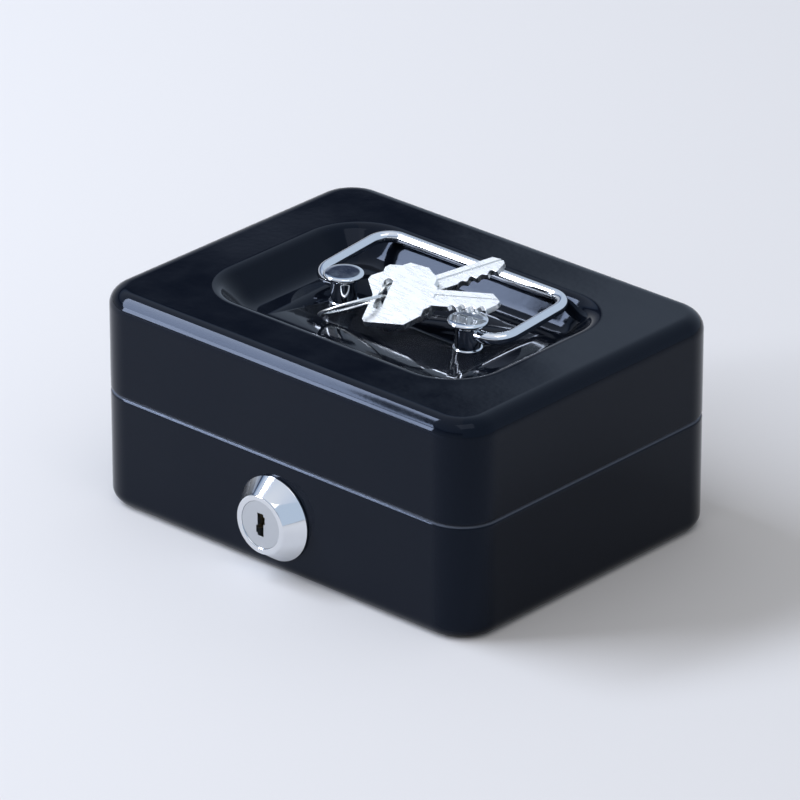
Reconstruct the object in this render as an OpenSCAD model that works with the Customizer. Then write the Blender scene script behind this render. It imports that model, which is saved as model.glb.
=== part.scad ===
// Steel cash box: a drawn two-part case with a recessed lid, a folding bail handle,
// a front wafer cam lock, a lift-out coin tray and two keys on a split ring.
// Millimetres. +Z is up, the lock is at -Y, and the origin is the centre of the base.

/* [Case] */
// Width over the side walls
box_w = 125; // [115:1:160]
// Depth over the front and back walls
box_d = 95; // [90:1:120]
// Height of the lid's top above the base
box_h = 58; // [54:1:75]
// Height of the seam between body and lid
seam_z = 31; // [29:1:33]
// Width of the seam line
seam_gap = 0.4; // [0.2:0.1:0.6]
// Thickness of the sheet steel
sheet = 0.8; // [0.6:0.1:1]
// Radius of the upright corners
corner_r = 11; // [9:0.5:14]
// Radius of the edge round the base
base_edge_r = 3.5; // [2:0.5:4]
// Radius of the edge round the lid
lid_edge_r = 4.5; // [3:0.5:6]
// Height of the body's neck above the seam
neck_h = 5; // [3:0.5:5.5]
// Clearance between the neck and the lid
neck_gap = 0.3; // [0.25:0.05:0.5]

/* [Lid recess] */
// Width of the recess at its mouth
recess_w = 91.5; // [88:0.5:97]
// How far the recess floor lies below the lid's top
recess_drop = 7; // [6.5:0.5:8]
// Corner radius of the recess mouth
recess_r = 16; // [15:1:20]
// Slope of the recess wall, in degrees
recess_slope = 45; // [40:5:60]
// Radius rolled round the recess mouth
recess_roll_r = 4; // [2:0.5:5]
// Radius between the recess wall and floor
recess_fillet_r = 7; // [4:0.5:7.5]

/* [Handle] */
// Distance between the two posts
post_pitch = 41.4; // [38:0.2:44]
// Diameter of a post's neck
post_neck_d = 6.7; // [6:0.1:8]
// Diameter of a post's cap
post_cap_d = 10.4; // [9:0.2:11.4]
// Height of a post above the recess floor
post_h = 8.1; // [7.8:0.1:9]
// Thickness of a post's cap
post_cap_t = 1.25; // [1:0.05:1.5]
// Wire diameter of the bail
bail_wire_d = 3; // [2.4:0.1:3.2]
// Width over the bail
bail_w = 65; // [63:1:72]
// Reach of the bail from its pivot to the outside of the bar
bail_reach = 28.5; // [26:0.1:28.5]
// Centreline radius of the bail's bends
bail_bend_r = 5.5; // [4:0.5:6]
// Height of the bail's pivot above the recess floor
bail_pivot_h = 4.5; // [4.2:0.1:4.8]
// Angle at which the bail stands above level
bail_lift = 5; // [2:1:12]
// Clearance between the lying bail and the recess wall
bail_rest_gap = 0.3; // [0.2:0.1:0.6]

/* [Hinges] */
// Distance from the case's side to the middle of a hinge
hinge_inset = 24.5; // [20:0.5:35]
// Width of a hinge
hinge_w = 22; // [18:1:30]
// Height of a hinge leaf
hinge_leaf_h = 12; // [9:0.5:14]
// Thickness of a hinge leaf
hinge_leaf_t = 0.8; // [0.6:0.1:1]
// Diameter of a hinge pin
hinge_pin_d = 2; // [1.6:0.1:2]
// Outer diameter of a hinge knuckle
knuckle_d = 3.6; // [3.4:0.1:4]

/* [Lock] */
// Height of the lock's axis above the base
lock_z = 15; // [14:0.5:16]
// Diameter of the bezel where it meets the case
bezel_d = 22.4; // [20:0.2:24]
// Diameter of the bezel's front face
bezel_face_d = 15.8; // [15:0.2:18]
// How far the bezel stands out of the case
bezel_h = 5.7; // [4.5:0.1:7]
// Diameter of the lock's barrel inside the case
barrel_d = 16; // [15.5:0.1:16.5]
// Length of the barrel behind the case's front face
barrel_l = 13; // [12:0.5:14]
// Diameter of the plug that the key turns
plug_d = 11.4; // [11:0.1:12]
// Height of the keyway
keyway_h = 6.1; // [5.8:0.1:6.3]
// Reach of the cam from the lock's axis
cam_reach = 13; // [12:0.1:13]
// Thickness of the cam
cam_t = 2; // [1.5:0.1:2.2]

/* [Coin tray] */
// Distance from the case's side to the tray's rim
tray_side_gap = 4; // [3.8:0.1:12]
// Distance from the case's front to the tray's rim, which leaves room for the lock
tray_front_gap = 20.5; // [20:0.5:32]
// Height of the tray
tray_h = 16; // [12:1:17]
// Wall thickness of the tray
tray_wall = 1.6; // [1.2:0.1:2]
// Height of the tray's underside above the base
tray_z = 18; // [17:0.5:19]

/* [Keys] */
// Length of a key's bow
key_bow_l = 15; // [14:0.5:16]
// Width of a key's bow
key_bow_w = 20; // [18:0.5:20.5]
// Length of a key's blade
key_blade_l = 18.5; // [16:0.5:19]
// Width of a key's blade
key_blade_w = 5.6; // [5:0.1:5.7]
// Thickness of a key
key_t = 1.8; // [1.5:0.1:1.8]
// Diameter of the ring over its wire
key_ring_d = 17.8; // [16:0.2:18]
// Wire diameter of the ring
key_ring_wire_d = 0.9; // [0.7:0.1:1]

/* [Hidden] */
$fn = 64;
cut = 1;            // how far a cutter runs past the face it opens
run_gap = 0.05;     // radial clearance of a pin or shaft that turns
touch_gap = 0.3;    // clearance between loose pieces that lie on each other
side_names = [-1, 1];

// Places that follow from the driving dimensions
ledge_z = seam_z - seam_gap / 2;
lid_bottom_z = seam_z + seam_gap / 2;
ledge_bend_r = sheet + 0.2;
neck_top_z = seam_z + neck_h;
neck_outer_r = corner_r - sheet - neck_gap;
neck_inner_r = neck_outer_r - sheet;
front_y = -box_d / 2;
back_y = box_d / 2;
recess_z = box_h - recess_drop;
pivot_z = recess_z + bail_pivot_h;

// The recess wall, in plan: two bends of recess_slope degrees and the straight part between them
wall_bends = recess_roll_r + recess_fillet_r;
wall_run = (recess_drop - wall_bends * (1 - cos(recess_slope))) / tan(recess_slope);
recess_side = wall_bends * sin(recess_slope) + wall_run;

// The bail's bar, lying just clear of the wall, sets how far the recess reaches to front and back
bail_r = bail_wire_d / 2;
bail_bar_y = bail_reach - bail_r;
bar_lies_y = bail_bar_y * cos(bail_lift);
bar_lies_below = box_h - pivot_z - bail_bar_y * sin(bail_lift);
roll_above = (recess_roll_r - bar_lies_below) * cos(recess_slope);
bar_to_mouth = (bail_r + bail_rest_gap + recess_roll_r - roll_above) / sin(recess_slope);
recess_d = 2 * (bar_lies_y + bar_to_mouth);

// ---------- Shared shapes ----------

// A rectangle with round corners
module rounded_rect(w, d, r) {
    square([w - 2 * r, d], center = true);
    square([w, d - 2 * r], center = true);
    for (x = side_names, y = side_names)
        translate([x * (w / 2 - r), y * (d / 2 - r)]) circle(r = r);
}

// A quarter of a ring, in the quadrant of +X and +Y
module quarter_ring(outer, inner) {
    intersection() {
        difference() {
            circle(r = outer);
            circle(r = inner);
        }
        square(outer);
    }
}

// Points along an arc, from one angle to another
function arc_points(centre, r, from, to, steps = 6) =
    [for (i = [0:steps]) let (t = from + (to - from) * i / steps) centre + r * [cos(t), sin(t)]];

// Carries a section round a rectangle with round corners.
// In the section, X is the distance out from the corner's centre and Y is the height.
module sweep_round(w, d, r) {
    reach_x = w / 2 - r;
    reach_y = d / 2 - r;
    for (turn = [0:3]) {
        across = turn % 2 == 0 ? reach_x : reach_y;
        along = turn % 2 == 0 ? reach_y : reach_x;
        rotate([0, 0, 90 * turn]) translate([across, along, 0]) {
            rotate_extrude(angle = 90) children();
            rotate([90, 0, 0]) linear_extrude(2 * along) children();
        }
    }
}

// ---------- Case ----------

module body_section() {
    translate([corner_r - base_edge_r, base_edge_r])
        rotate(-90) quarter_ring(base_edge_r, base_edge_r - sheet);
    translate([corner_r - sheet, base_edge_r])
        square([sheet, ledge_z - ledge_bend_r - base_edge_r]);
    translate([corner_r - ledge_bend_r, ledge_z - ledge_bend_r])
        quarter_ring(ledge_bend_r, ledge_bend_r - sheet);
    translate([neck_inner_r, ledge_z - sheet])
        square([corner_r - ledge_bend_r - neck_inner_r, sheet]);
    translate([neck_inner_r, ledge_z - sheet])
        square([sheet, neck_top_z - ledge_z + sheet]);
}

module body_shell() {
    color("#1b222c") difference() {
        union() {
            sweep_round(box_w, box_d, corner_r) body_section();
            linear_extrude(sheet)
                rounded_rect(box_w - 2 * base_edge_r, box_d - 2 * base_edge_r, corner_r - base_edge_r);
        }
        at_lock() translate([0, 0, -sheet - cut])
            cylinder(d = barrel_d + 2 * barrel_gap, h = sheet + 2 * cut);
    }
}

module lid_section() {
    translate([corner_r - lid_edge_r, box_h - lid_edge_r])
        quarter_ring(lid_edge_r, lid_edge_r - sheet);
    translate([corner_r - sheet, lid_bottom_z])
        square([sheet, box_h - lid_edge_r - lid_bottom_z]);
}

module recess_section() {
    roll_centre = [recess_r, box_h - recess_roll_r];
    fillet_centre = [recess_r - recess_side, recess_z + recess_fillet_r];
    wall_angle = 90 + recess_slope;
    polygon(concat(
        arc_points(roll_centre, recess_roll_r, 90, wall_angle),
        arc_points(fillet_centre, recess_fillet_r, wall_angle - 180, -90),
        arc_points(fillet_centre, recess_fillet_r + sheet, -90, wall_angle - 180),
        arc_points(roll_centre, recess_roll_r - sheet, wall_angle, 90)));
}

module lid_shell() {
    color("#1b222c") difference() {
        union() {
            sweep_round(box_w, box_d, corner_r) lid_section();
            translate([0, 0, box_h - sheet]) linear_extrude(sheet) difference() {
                rounded_rect(box_w - 2 * lid_edge_r, box_d - 2 * lid_edge_r, corner_r - lid_edge_r);
                rounded_rect(recess_w, recess_d, recess_r);
            }
            sweep_round(recess_w, recess_d, recess_r) recess_section();
            translate([0, 0, recess_z - sheet]) linear_extrude(sheet)
                rounded_rect(recess_w - 2 * recess_side, recess_d - 2 * recess_side,
                             recess_r - recess_side);
        }
        for (side = side_names) at_post(side) translate([0, 0, -sheet - cut])
            cylinder(d = shank_d + 2 * shank_gap, h = sheet + 2 * cut);
    }
}

// ---------- Hinges ----------

hinge_pitch = box_w - 2 * hinge_inset;
hinge_y = back_y + knuckle_d / 2 + 0.2;
hinge_side_l = 7;       // length of each of the body leaf's two knuckles
hinge_end_gap = 0.2;    // gap between neighbouring knuckles
hinge_clear = 0.3;      // gap between a leaf and the other leaf's knuckle
hinge_mid_l = hinge_w - 2 * hinge_side_l - 2 * hinge_end_gap;

// One leaf: up is 1 for the lid's and -1 for the body's. Each knuckle is [start, length].
module hinge_leaf(side, up, knuckles) {
    plate_near = knuckle_d / 2 + hinge_clear;
    color("#20262e") translate([side * hinge_pitch / 2, 0, seam_z]) difference() {
        union() {
            translate([-hinge_w / 2, back_y, up > 0 ? plate_near : -hinge_leaf_h])
                cube([hinge_w, hinge_leaf_t, hinge_leaf_h - plate_near]);
            for (knuckle = knuckles) {
                translate([knuckle[0], back_y, up > 0 ? 0 : -plate_near])
                    cube([knuckle[1], hinge_leaf_t, plate_near]);
                translate([knuckle[0], hinge_y, 0]) rotate([0, 90, 0])
                    cylinder(d = knuckle_d, h = knuckle[1]);
            }
        }
        translate([-hinge_w / 2 - cut, hinge_y, 0]) rotate([0, 90, 0])
            cylinder(d = hinge_pin_d + 2 * run_gap, h = hinge_w + 2 * cut);
    }
}

body_knuckles = [[-hinge_w / 2, hinge_side_l], [hinge_w / 2 - hinge_side_l, hinge_side_l]];
lid_knuckles = [[-hinge_mid_l / 2, hinge_mid_l]];

module hinge_leaf_body_left() { hinge_leaf(-1, -1, body_knuckles); }
module hinge_leaf_body_right() { hinge_leaf(1, -1, body_knuckles); }
module hinge_leaf_lid_left() { hinge_leaf(-1, 1, lid_knuckles); }
module hinge_leaf_lid_right() { hinge_leaf(1, 1, lid_knuckles); }

hinge_pin_head_d = 3;
hinge_pin_head_t = 0.6;

module hinge_pin(side) {
    reach = hinge_w / 2 + run_gap;
    color("#c9ccd0") translate([side * hinge_pitch / 2, hinge_y, seam_z]) rotate([0, 90, 0]) {
        translate([0, 0, -reach]) cylinder(d = hinge_pin_d, h = 2 * reach);
        for (z = [-reach - hinge_pin_head_t, reach])
            translate([0, 0, z]) cylinder(d = hinge_pin_head_d, h = hinge_pin_head_t);
    }
}

module hinge_pin_left() { hinge_pin(-1); }
module hinge_pin_right() { hinge_pin(1); }

// ---------- Handle ----------

shank_d = 4;
shank_gap = 0.1;
washer_d = 9;
washer_t = 0.8;
peen_d = 5.8;
peen_t = 0.6;
peen_gap = 0.05;
pin_depth = 3.15;                 // how far a bail end reaches into its post
bail_arm_x = bail_w / 2 - bail_r;
bail_end_x = post_pitch / 2 + post_neck_d / 2 - pin_depth;

// Puts its children on the recess floor, at one post's axis
module at_post(side) { translate([side * post_pitch / 2, 0, recess_z]) children(); }

// Half of a post's outline: collar, neck, flare and rounded cap, then the shank and its peened end
module post_outline() {
    neck_r = post_neck_d / 2;
    edge_r = post_cap_t / 2;
    cap_flat_r = post_cap_d / 2 - edge_r;
    cap_z = post_h - post_cap_t;
    flare_r = cap_flat_r - neck_r;
    square([neck_r, cap_z]);
    square([neck_r + 0.5, 0.6]);
    translate([neck_r, cap_z - flare_r]) difference() {
        square(flare_r);
        translate([flare_r, 0]) circle(r = flare_r);
    }
    translate([0, cap_z]) square([cap_flat_r, post_cap_t]);
    translate([cap_flat_r, cap_z + edge_r]) circle(r = edge_r);
    translate([0, -sheet - washer_t - peen_gap]) square([shank_d / 2, sheet + washer_t + peen_gap]);
    translate([0, -sheet - washer_t - peen_gap - peen_t]) square([peen_d / 2, peen_t]);
}

module handle_post(side) {
    color("#d6d8dc") difference() {
        at_post(side) rotate_extrude() intersection() {
            post_outline();
            translate([0, -post_h]) square([post_cap_d, 3 * post_h]);
        }
        translate([side * (bail_end_x - touch_gap), 0, pivot_z]) rotate([0, side * 90, 0])
            cylinder(d = bail_wire_d + 2 * run_gap, h = post_cap_d);
    }
}

module handle_post_left() { handle_post(-1); }
module handle_post_right() { handle_post(1); }

module handle_washers() {
    color("#b9bcc0") for (side = side_names) at_post(side)
        translate([0, 0, -sheet - washer_t]) difference() {
            cylinder(d = washer_d, h = washer_t);
            translate([0, 0, -cut]) cylinder(d = shank_d + 2 * shank_gap, h = washer_t + 2 * cut);
        }
}

module bail_bend() { rotate_extrude(angle = 90) translate([bail_bend_r, 0]) circle(d = bail_wire_d); }

module handle_bail() {
    bend_x = bail_arm_x - bail_bend_r;
    color("#dcdee2") translate([0, 0, pivot_z]) rotate([bail_lift, 0, 0]) {
        translate([-bend_x, bail_bar_y, 0]) rotate([0, 90, 0])
            cylinder(d = bail_wire_d, h = 2 * bend_x);
        for (side = [0, 1]) mirror([side, 0, 0]) {
            translate([bend_x, bail_bar_y - bail_bend_r, 0]) bail_bend();
            translate([bend_x, bail_bend_r, 0]) rotate([0, 0, -90]) bail_bend();
            translate([bail_arm_x, bail_bend_r, 0]) rotate([-90, 0, 0])
                cylinder(d = bail_wire_d, h = bail_bar_y - 2 * bail_bend_r);
            translate([bail_end_x, 0, 0]) rotate([0, 90, 0])
                cylinder(d = bail_wire_d, h = bend_x - bail_end_x);
        }
    }
}

// ---------- Lock ----------

barrel_gap = 0.1;
bezel_rim_t = 0.7;
bezel_bevel = 0.45;
plug_sink = 0.3;               // how far the plug's face lies behind the bezel's
plug_head_d = plug_d + 1;
plug_head_t = 1;
clip_t = 1.2;
clip_w = 24;
clip_h = 21;
clip_flat = 14;                // across the flats that the clip slides over
clip_gap = 0.05;
tail_w = 5;                    // across the square end that drives the cam
cam_w = 7;
cam_hub_d = 11;
cam_gap = 0.2;                 // between the barrel's end and the cam
cam_fit = 0.05;
screw_d = 3;
screw_head_d = 6;
screw_head_t = 1.8;
screw_l = 7;
cam_washer_d = 8;
cam_washer_t = 0.6;
cam_near_z = -barrel_l - cam_gap;
cam_far_z = cam_near_z - cam_t;
cam_washer_z = cam_far_z - cam_washer_t;

// Puts its children on the lock's axis: local +Z points out of the case's front face
module at_lock() { translate([0, front_y, lock_z]) rotate([90, 0, 0]) children(); }

module lock_housing() {
    head_bore_d = plug_head_d + 2 * run_gap;
    head_bore_z = bezel_h - plug_sink - plug_head_t - run_gap;
    color("#cfd2d6") at_lock() difference() {
        rotate_extrude() union() {
            polygon([[0, 0], [bezel_d / 2, 0], [bezel_d / 2, bezel_rim_t],
                     [bezel_face_d / 2, bezel_h - bezel_bevel], [bezel_face_d / 2 - bezel_bevel, bezel_h],
                     [0, bezel_h]]);
            translate([0, -barrel_l]) square([barrel_d / 2, barrel_l]);
        }
        translate([0, 0, -barrel_l - cut])
            cylinder(d = plug_d + 2 * run_gap, h = barrel_l + bezel_h + 2 * cut);
        translate([0, 0, head_bore_z]) cylinder(d = head_bore_d, h = bezel_h);
        for (side = side_names)
            translate([side * (clip_flat / 2 + barrel_d / 2), 0, -sheet - clip_t / 2 - clip_gap])
                cube([barrel_d, barrel_d + cut, clip_t + 2 * clip_gap], center = true);
    }
}

// The keyway's outline: a slot with a step to each side, so the key goes in one way round
keyway_w = key_t + 0.2;
keyway_step = 0.45;
module keyway_outline() {
    third = keyway_h / 3;
    translate([-keyway_w / 2, -keyway_h / 2]) square([keyway_w, keyway_h]);
    translate([-keyway_w / 2 - keyway_step, -keyway_h / 2 + third / 3]) square([keyway_step, third]);
    translate([keyway_w / 2, keyway_h / 2 - third / 3 - third]) square([keyway_step, third]);
}

wafer_count = 4;
wafer_t = 1;
wafer_pitch = 2.2;
wafer_first_z = 1.5;
wafer_w = 6.4;
wafer_h = 9.2;
wafer_gap = 0.08;
wafer_tab_l = 1.5;
wafer_tab_h = 1.2;
spring_d = 1.1;
spring_wire_d = 0.36;
spring_pocket_d = 1.3;
spring_l = 2.7;
spring_x = wafer_w / 2 + spring_pocket_d / 2 + 0.15;
function wafer_z(i) = wafer_first_z - i * wafer_pitch;

// One wafer's outline, grown by a clearance: a plate with a tab that its spring pushes up
module wafer_outline(grow) {
    square([wafer_w + 2 * grow, wafer_h + 2 * grow], center = true);
    translate([0, -grow]) square([wafer_w / 2 + wafer_tab_l + grow, wafer_tab_h + 2 * grow]);
}

module lock_plug() {
    face_z = bezel_h - plug_sink;
    color("#c4c7cb") at_lock() difference() {
        union() {
            translate([0, 0, -barrel_l]) cylinder(d = plug_d, h = barrel_l + face_z);
            translate([0, 0, face_z - plug_head_t]) cylinder(d = plug_head_d, h = plug_head_t);
            translate([-tail_w / 2, -tail_w / 2, cam_far_z]) cube([tail_w, tail_w, cam_t + cam_gap]);
        }
        translate([0, 0, wafer_z(wafer_count)]) linear_extrude(bezel_h + barrel_l) keyway_outline();
        for (i = [0 : wafer_count - 1]) {
            translate([0, 0, wafer_z(i) - wafer_t / 2 - wafer_gap])
                linear_extrude(wafer_t + 2 * wafer_gap) wafer_outline(wafer_gap);
            translate([spring_x, 0, wafer_z(i)]) rotate([90, 0, 0])
                cylinder(d = spring_pocket_d, h = spring_l + 2 * wafer_gap);
        }
        translate([0, 0, cam_far_z - cut])
            cylinder(d = screw_d + 2 * cam_fit, h = screw_l + cut);
    }
}

module lock_wafers() {
    color("#b9923f") at_lock() for (i = [0 : wafer_count - 1])
        translate([0, 0, wafer_z(i) - wafer_t / 2]) linear_extrude(wafer_t) difference() {
            wafer_outline(0);
            square([keyway_w + 2 * keyway_step, keyway_h], center = true);
        }
}

// Each spring is drawn as its closed turns, one on the next
module wafer_springs() {
    turn_l = spring_wire_d * 0.9;
    turns = floor((spring_l - spring_wire_d) / turn_l);
    color("#a7aab0") at_lock() for (i = [0 : wafer_count - 1])
        translate([spring_x, -wafer_gap, wafer_z(i)]) rotate([90, 0, 0])
            for (k = [0 : turns]) translate([0, 0, spring_wire_d / 2 + k * turn_l])
                rotate_extrude($fn = 24) translate([(spring_d - spring_wire_d) / 2, 0])
                    circle(d = spring_wire_d, $fn = 14);
}

module lock_clip() {
    color("#9da0a5") at_lock() translate([0, 0, -sheet - clip_gap / 2 - clip_t])
        linear_extrude(clip_t) difference() {
            square([clip_w, clip_h], center = true);
            translate([-clip_flat / 2 - clip_gap, -clip_h])
                square([clip_flat + 2 * clip_gap, clip_h + barrel_d / 2 + clip_gap]);
        }
}

// At rest the cam points up, clear of the lid's catch; a quarter turn takes it over the catch's foot
module lock_cam() {
    color("#a9adb3") at_lock() translate([0, 0, cam_far_z]) linear_extrude(cam_t) difference() {
        union() {
            circle(d = cam_hub_d);
            translate([-cam_w / 2, 0]) square([cam_w, cam_reach - cam_w / 2]);
            translate([0, cam_reach - cam_w / 2]) circle(d = cam_w);
        }
        square(tail_w + 2 * cam_fit, center = true);
    }
}

module cam_washer() {
    color("#b9bcc0") at_lock() translate([0, 0, cam_washer_z]) difference() {
        cylinder(d = cam_washer_d, h = cam_washer_t);
        translate([0, 0, -cut]) cylinder(d = screw_d + 2 * cam_fit, h = cam_washer_t + 2 * cut);
    }
}

module cam_screw() {
    slot_w = 0.9;
    slot_h = 0.9;
    tip_gap = 0.2;
    color("#b4b7bc") at_lock() difference() {
        union() {
            translate([0, 0, cam_washer_z - screw_head_t]) cylinder(d = screw_head_d, h = screw_head_t);
            translate([0, 0, cam_washer_z]) cylinder(d = screw_d, h = cam_washer_t + screw_l - tip_gap);
        }
        for (turn = [0, 90]) rotate([0, 0, turn])
            translate([0, 0, cam_washer_z - screw_head_t])
                cube([slot_w, screw_head_d * 0.7, 2 * slot_h], center = true);
    }
}

// ---------- Lid catch ----------

catch_t = 1;
catch_x = barrel_d / 2 + 1;            // clears the barrel's side
catch_flange_l = 11;
catch_over_neck = 2;
catch_flange_top = 9;                  // the flange's top above the neck
catch_top_z = neck_top_z + catch_flange_top;
catch_gap = 0.4;                       // between the cam and the catch
catch_foot_h = 2.6;
catch_leg_w = 3;
cam_front_y = front_y - cam_near_z;
cam_back_y = front_y - cam_far_z;
catch_leg_y = cam_back_y + catch_gap;
catch_foot_z = lock_z - cam_w / 2 - catch_gap - catch_foot_h;
catch_foot_y = cam_front_y - catch_gap - 1;

module lid_catch() {
    wall_y = front_y + sheet;
    over_z = neck_top_z + catch_over_neck;
    color("#a9adb3") {
        translate([catch_x + catch_t - catch_flange_l, wall_y, over_z])
            cube([catch_flange_l, catch_t, catch_top_z - over_z]);
        translate([catch_x, wall_y, over_z])
            cube([catch_t, catch_leg_y + catch_leg_w - wall_y, catch_top_z - over_z]);
        translate([catch_x, catch_leg_y, catch_foot_z])
            cube([catch_t, catch_leg_w, catch_top_z - catch_foot_z]);
        translate([catch_x, catch_foot_y, catch_foot_z])
            cube([catch_t, catch_leg_y + catch_leg_w - catch_foot_y, catch_foot_h]);
    }
}

// ---------- Coin tray ----------

tray_back_gap = 1.2;                   // between the tray's rim and the neck
tray_front_y = front_y + tray_front_gap;
tray_back_y = back_y - corner_r + neck_inner_r - tray_back_gap;
tray_w = box_w - 2 * tray_side_gap;
tray_d = tray_back_y - tray_front_y;
tray_y = (tray_front_y + tray_back_y) / 2;
tray_r = corner_r - 1;                 // rounder than the neck, to lift clear of the lid's corners
tray_rim_w = 1.2;
tray_rim_t = 1.4;
tray_top_z = tray_z + tray_h;
tray_cup_r = 6;
tray_grip_w = 24;
tray_grip_t = 2.6;
tray_grip_h = 2.5;
tray_back_cups = 3;
tray_front_cups = 2;

// A row of equal cups across the tray, from y0 to y1 in the tray's own frame
module tray_cups(count, y0, y1) {
    inner_w = tray_w - 2 * tray_rim_w - 2 * tray_wall;
    cup_w = (inner_w - (count - 1) * tray_wall) / count;
    for (i = [0 : count - 1])
        translate([-inner_w / 2 + cup_w / 2 + i * (cup_w + tray_wall), (y0 + y1) / 2, 0])
            rounded_rect(cup_w, y1 - y0, tray_cup_r);
}

module coin_tray() {
    body_w = tray_w - 2 * tray_rim_w;
    body_d = tray_d - 2 * tray_rim_w;
    inner_d = body_d - 2 * tray_wall;
    color("#22262c") translate([0, tray_y, 0]) {
        difference() {
            union() {
                translate([0, 0, tray_z]) linear_extrude(tray_h)
                    rounded_rect(body_w, body_d, tray_r - tray_rim_w);
                translate([0, 0, tray_top_z - tray_rim_t]) linear_extrude(tray_rim_t)
                    rounded_rect(tray_w, tray_d, tray_r);
            }
            translate([0, 0, tray_z + tray_wall]) linear_extrude(tray_h) {
                tray_cups(tray_back_cups, tray_wall / 2, inner_d / 2);
                tray_cups(tray_front_cups, -inner_d / 2, -tray_wall / 2);
            }
        }
        translate([0, 0, tray_top_z - tray_grip_h]) linear_extrude(2 * tray_grip_h)
            rounded_rect(tray_grip_w, tray_grip_t, tray_grip_t / 2 - 0.01);
    }
}

rest_t = 0.8;
rest_w = 6;
rest_h = 9;
rest_end_gap = 9;                      // from a rest's end to the tray's rim
rest_l = tray_d - 2 * rest_end_gap;

module tray_rest(side) {
    wall_x = box_w / 2 - sheet;
    top_z = tray_z - touch_gap;
    color("#1b222c") mirror([side > 0 ? 0 : 1, 0, 0]) translate([wall_x, tray_y, 0]) {
        translate([-rest_t, -rest_l / 2, top_z - rest_h]) cube([rest_t, rest_l, rest_h]);
        translate([-rest_w, -rest_l / 2, top_z - rest_t]) cube([rest_w, rest_l, rest_t]);
    }
}

module tray_rest_left() { tray_rest(-1); }
module tray_rest_right() { tray_rest(1); }

// ---------- Keys ----------

// The keys lie fanned on their ring, with one blade across the right-hand post
keys_x = -3.1;
keys_y = -4.5;
keys_rise = 1.4;         // height of the top key's slot above the lid's top
key_heading = 19.5;      // from +X to the top key's blade, seen from above
key_lean = 23;           // the keys' faces lean down towards the lock
key_rise_angle = 5.5;    // the blades rise towards their tips
key_fan = 31;            // from the top key to the one under it
key_edge = 2.6;          // from the bow's end to the middle of its slot
key_slot_w = 2.2;
key_slot_l = 10.5;
key_chamfer = 3.6;
key_shoulder_l = 1.2;
key_groove_w = 1.2;
key_groove_h = 0.35;
key_neck_h = 1.4;        // how far the bow's neck stands out above the blade at the bow
key_stop_h = 0.6;        // how far its stop stands out at the shoulder
key_corner = 1;          // chamfer of the bow's outer corners
key_tip_l = 2.4;
key_tooth_count = 4;
key_tooth_pitch = 2.6;
key_tooth_w = 2.2;
key_tooth_flat = 0.7;
key_tooth_h = 1.1;
key_first_tooth = 1.4;   // from the tip's slope to the first cut
ring_tilt = 32;          // the ring's slope down to its foot on the recess floor
ring_heading = 161;      // the way the ring slopes, seen from above
ring_swing = 48;         // from the slope to the ring's middle, round the slot
ring_drop = 0.15;        // how far the wire hangs below the middle of the top key's slot

// Puts its children on the top key's slot: local +X runs to the blade's tip, +Z out of its face
module at_keys() {
    translate([keys_x, keys_y, box_h + keys_rise])
        rotate([key_lean, -key_rise_angle, key_heading]) children();
}

// A key seen from its face, with the middle of its slot at the origin
module key_outline() {
    bow_x = key_bow_l - key_edge;
    half = key_bow_w / 2;
    blade = key_blade_w / 2;
    stop_x = bow_x + key_shoulder_l;
    tip_x = bow_x + key_blade_l;
    difference() {
        polygon([[-key_edge, -half + key_corner], [-key_edge + key_corner, -half],
                 [bow_x - key_chamfer, -half], [bow_x, -half + key_chamfer], [bow_x, -blade - key_neck_h],
                 [stop_x, -blade - key_stop_h], [stop_x, -blade], [tip_x - key_tip_l, -blade],
                 [tip_x, -blade / 4], [tip_x, blade / 4], [tip_x - key_tip_l, blade], [stop_x, blade],
                 [stop_x, blade + key_stop_h], [bow_x, blade + key_neck_h], [bow_x, half - key_chamfer],
                 [bow_x - key_chamfer, half], [-key_edge + key_corner, half], [-key_edge, half - key_corner]]);
        square([key_slot_w, key_slot_l - key_slot_w], center = true);
        for (end = side_names) translate([0, end * (key_slot_l - key_slot_w) / 2])
            circle(d = key_slot_w);
        for (i = [0 : key_tooth_count - 1]) {
            x = tip_x - key_tip_l - key_first_tooth - i * key_tooth_pitch;
            depth = key_tooth_h * (i % 2 == 0 ? 1 : 0.55);
            polygon([[x - key_tooth_w / 2, -blade - cut], [x - key_tooth_w / 2, -blade],
                     [x - key_tooth_flat / 2, -blade + depth], [x + key_tooth_flat / 2, -blade + depth],
                     [x + key_tooth_w / 2, -blade], [x + key_tooth_w / 2, -blade - cut]]);
        }
    }
}

module key() {
    groove_x = key_bow_l - key_edge + key_shoulder_l;
    color("#e3e6ea") difference() {
        translate([0, 0, -key_t / 2]) linear_extrude(key_t) key_outline();
        for (face = side_names)
            translate([groove_x, face * 0.5 - key_groove_w / 2, face * key_t / 2 - key_groove_h])
                cube([key_blade_l, key_groove_w, 2 * key_groove_h]);
    }
}

module key_1() { at_keys() key(); }

module key_2() {
    at_keys() translate([0, 0, -key_t - touch_gap]) rotate([0, 0, key_fan]) key();
}

module key_ring() {
    r = (key_ring_d - key_ring_wire_d) / 2;
    color("#d0d3d8") translate([keys_x, keys_y, box_h + keys_rise - ring_drop])
        rotate([0, ring_tilt, ring_heading]) rotate([0, 0, ring_swing]) translate([r, 0, 0])
            rotate_extrude() translate([r, 0]) circle(d = key_ring_wire_d);
}

// ---------- Nodes ----------

body_shell();
lid_shell();
hinge_leaf_body_left();
hinge_leaf_body_right();
hinge_leaf_lid_left();
hinge_leaf_lid_right();
hinge_pin_left();
hinge_pin_right();
handle_bail();
handle_post_left();
handle_post_right();
handle_washers();
lock_housing();
lock_plug();
lock_clip();
lock_cam();
cam_washer();
cam_screw();
lock_wafers();
wafer_springs();
lid_catch();
coin_tray();
tray_rest_left();
tray_rest_right();
key_1();
key_2();
key_ring();
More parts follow.
